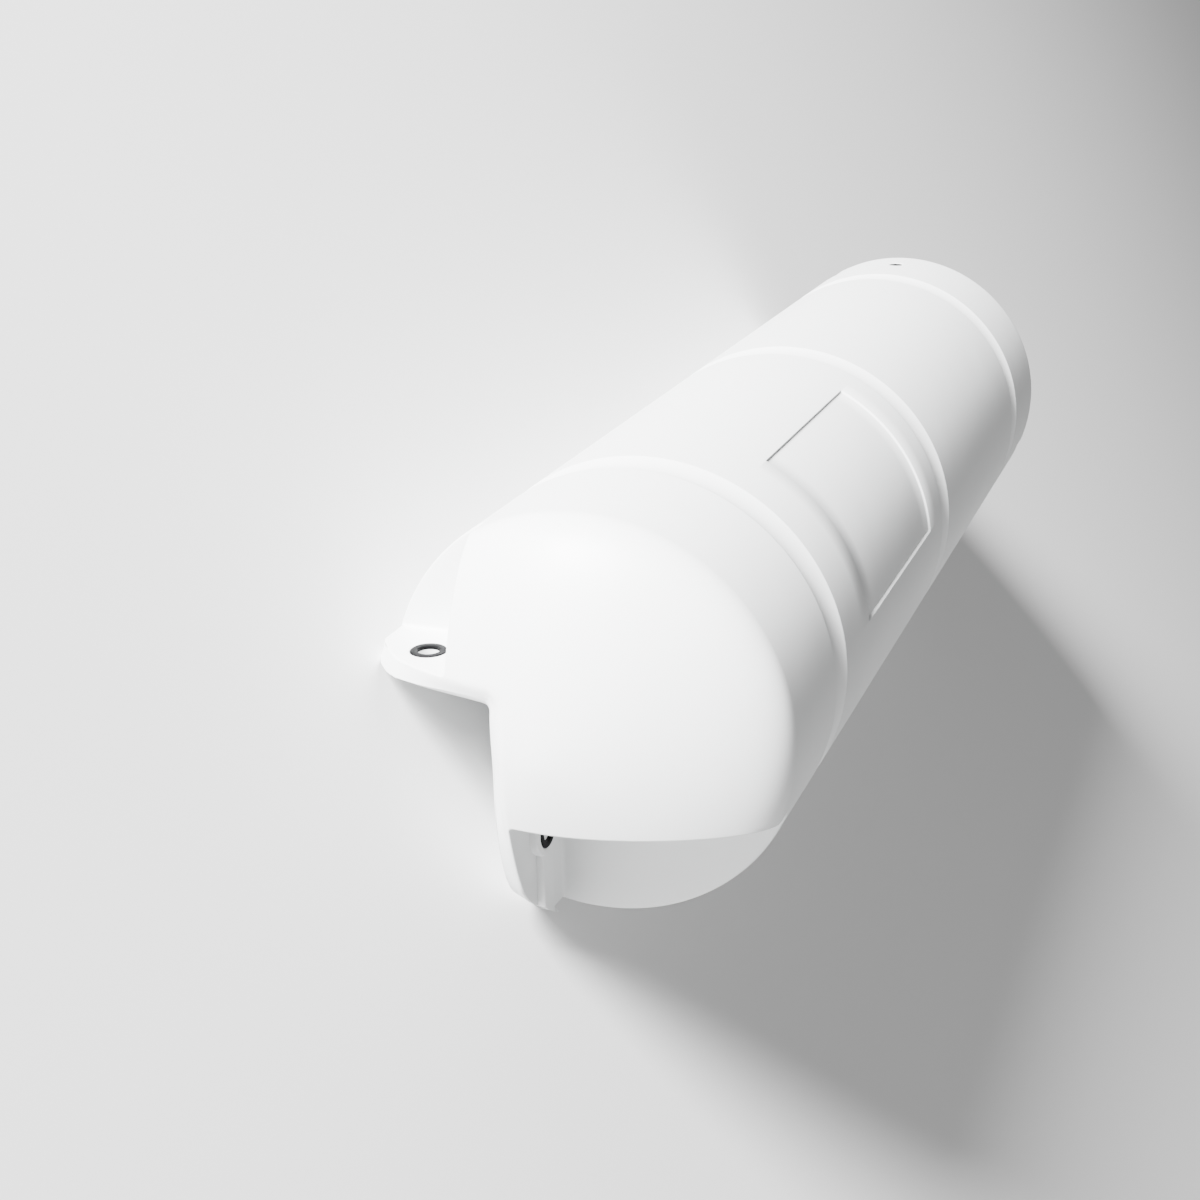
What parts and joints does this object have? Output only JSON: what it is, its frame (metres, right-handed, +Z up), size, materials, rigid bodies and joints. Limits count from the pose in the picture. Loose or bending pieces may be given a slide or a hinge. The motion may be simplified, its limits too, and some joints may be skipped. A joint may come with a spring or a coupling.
{
  "type": "dock fender",
  "caption": "Three-quarter round dock fender with a long notch that sits over a dock's edge, domed ends and drilled tabs for fastening.",
  "frame": {"origin": "on the floor under the middle of the fender, which lies with its notch down", "axes": "+X along the fender to the end with the air valve, +Z up; on a dock it hangs turned about X, and what is then up is the stored direction (0, 0.861, 0.508), so the dock's top lies against the notch's face on the +Y side"},
  "size_m": [0.961, 0.25, 0.2141],
  "materials": {
    "white_vinyl": "soft white vinyl, satin",
    "black_rubber": "black rubber, matt"
  },
  "bodies": {
    "root": {"fender_body": "white_vinyl", "eyelet_ring_top_1": "black_rubber", "eyelet_ring_top_2": "black_rubber", "eyelet_ring_side_1": "black_rubber", "eyelet_ring_side_2": "black_rubber", "valve_plug": "black_rubber"}
  },
  "joints": []
}
